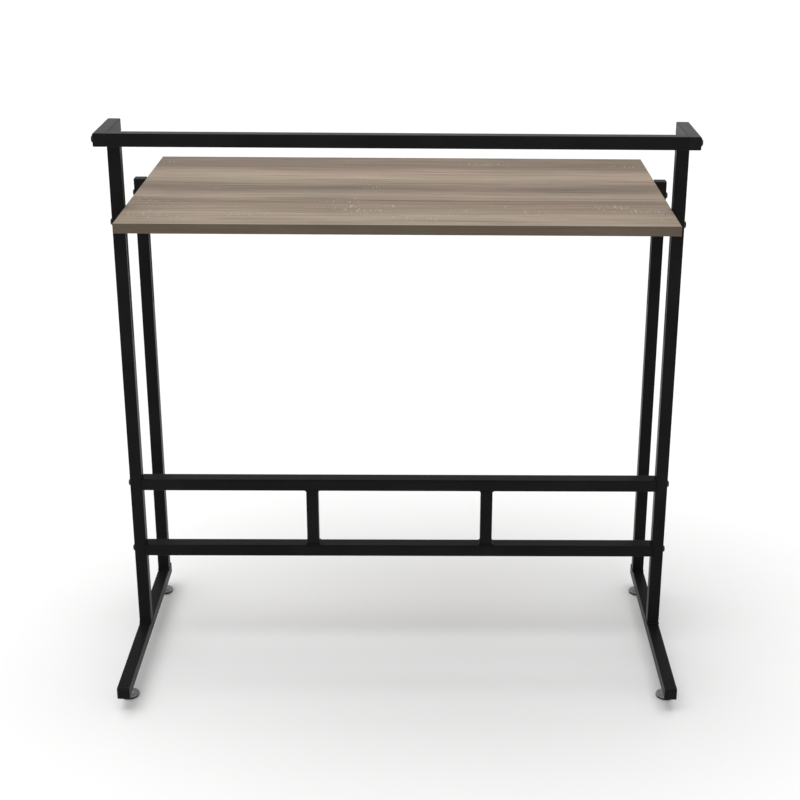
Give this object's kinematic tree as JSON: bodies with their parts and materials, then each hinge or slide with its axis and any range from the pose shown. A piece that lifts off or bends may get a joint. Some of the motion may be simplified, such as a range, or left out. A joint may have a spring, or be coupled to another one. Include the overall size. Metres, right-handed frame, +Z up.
{
  "type": "height adjustable standing desk",
  "caption": "Standing desk: wood board on bolted rails between black tubular side frames, with a raised top crossbar, foot rails and levelling feet.",
  "frame": {"origin": "on the floor, at the middle of the whole desk's box, with the board at its highest setting", "axes": "+X along the board to the right seen from the front, +Y from the front posts to the rear posts, +Z up"},
  "size_m": [1.145, 0.75, 1.145],
  "materials": {
    "frame_paint": "satin black powder coat",
    "board_wood": "matt weathered grey-brown wood decor, grain along X",
    "edge_wood": "matt wood decor edge strip",
    "cap_plastic": "moulded black plastic",
    "bolt_black": "black oxide",
    "plain_steel": "plain",
    "zinc_steel": "zinc plated",
    "pad_plastic": "semi-gloss mottled grey nylon with a darker rim",
    "sole_rubber": "matt"
  },
  "bodies": {
    "frame": {"left_floor_tube": "frame_paint", "left_front_post": "frame_paint", "left_rear_post": "frame_paint", "left_arm": "frame_paint", "left_foot_rail_strut": "frame_paint", "left_front_floor_tube_cap": "cap_plastic", "left_rear_floor_tube_cap": "cap_plastic", "left_front_arm_cap": "cap_plastic", "left_rear_arm_cap": "cap_plastic", "left_rear_post_cap": "cap_plastic", "right_floor_tube": "frame_paint", "right_front_post": "frame_paint", "right_rear_post": "frame_paint", "right_arm": "frame_paint", "right_foot_rail_strut": "frame_paint", "right_front_floor_tube_cap": "cap_plastic", "right_rear_floor_tube_cap": "cap_plastic", "right_front_arm_cap": "cap_plastic", "right_rear_arm_cap": "cap_plastic", "right_rear_post_cap": "cap_plastic", "top_crossbar": "frame_paint", "upper_foot_rail": "frame_paint", "lower_foot_rail": "frame_paint", "crossbar_bolts": "bolt_black", "crossbar_threaded_plugs": "plain_steel", "foot_rail_bolts": "bolt_black", "foot_rail_threaded_plugs": "frame_paint", "foot_lock_nuts": "zinc_steel", "foot_rivet_nuts": "zinc_steel"},
    "desk_board": {"board_core": "board_wood", "front_edge_band": "edge_wood", "rear_edge_band": "edge_wood", "left_edge_band": "edge_wood", "right_edge_band": "edge_wood", "front_board_rail": "frame_paint", "rear_board_rail": "frame_paint", "board_rail_bolts": "bolt_black", "board_rail_threaded_plugs": "plain_steel", "board_screws": "zinc_steel"},
    "left_front_foot": {"left_front_foot_pad": "pad_plastic", "left_front_foot_sole": "sole_rubber"},
    "left_front_stud": {"left_front_foot_stud": "zinc_steel"},
    "left_rear_foot": {"left_rear_foot_pad": "pad_plastic", "left_rear_foot_sole": "sole_rubber"},
    "left_rear_stud": {"left_rear_foot_stud": "zinc_steel"},
    "right_front_foot": {"right_front_foot_pad": "pad_plastic", "right_front_foot_sole": "sole_rubber"},
    "right_front_stud": {"right_front_foot_stud": "zinc_steel"},
    "right_rear_foot": {"right_rear_foot_pad": "pad_plastic", "right_rear_foot_sole": "sole_rubber"},
    "right_rear_stud": {"right_rear_foot_stud": "zinc_steel"}
  },
  "joints": [
    {"name": "board_height", "type": "slide", "parent": "frame", "child": "desk_board", "axis": [0, 0, 1], "range_m": [-0.24, 0]},
    {"name": "left_front_foot_height", "type": "slide", "parent": "frame", "child": "left_front_foot", "axis": [0, 0, -1], "range_m": [0, 0.0102]},
    {"name": "left_front_stud_turn", "type": "hinge", "parent": "left_front_foot", "child": "left_front_stud", "pos_m": [-0.5525, -0.313, 0.01], "axis": [0, 0, -1], "range_deg": [0, 2880]},
    {"name": "left_rear_foot_height", "type": "slide", "parent": "frame", "child": "left_rear_foot", "axis": [0, 0, -1], "range_m": [0, 0.0102]},
    {"name": "left_rear_stud_turn", "type": "hinge", "parent": "left_rear_foot", "child": "left_rear_stud", "pos_m": [-0.5525, 0.142, 0.01], "axis": [0, 0, -1], "range_deg": [0, 2880]},
    {"name": "right_front_foot_height", "type": "slide", "parent": "frame", "child": "right_front_foot", "axis": [0, 0, -1], "range_m": [0, 0.0102]},
    {"name": "right_front_stud_turn", "type": "hinge", "parent": "right_front_foot", "child": "right_front_stud", "pos_m": [0.5525, -0.313, 0.01], "axis": [0, 0, -1], "range_deg": [0, 2880]},
    {"name": "right_rear_foot_height", "type": "slide", "parent": "frame", "child": "right_rear_foot", "axis": [0, 0, -1], "range_m": [0, 0.0102]},
    {"name": "right_rear_stud_turn", "type": "hinge", "parent": "right_rear_foot", "child": "right_rear_stud", "pos_m": [0.5525, 0.142, 0.01], "axis": [0, 0, -1], "range_deg": [0, 2880]}
  ],
  "couplings": [
    {"joint": "left_front_foot_height", "follows": "left_front_stud_turn", "m_per_rad": 0.00019894},
    {"joint": "left_rear_foot_height", "follows": "left_rear_stud_turn", "m_per_rad": 0.00019894},
    {"joint": "right_front_foot_height", "follows": "right_front_stud_turn", "m_per_rad": 0.00019894},
    {"joint": "right_rear_foot_height", "follows": "right_rear_stud_turn", "m_per_rad": 0.00019894}
  ]
}
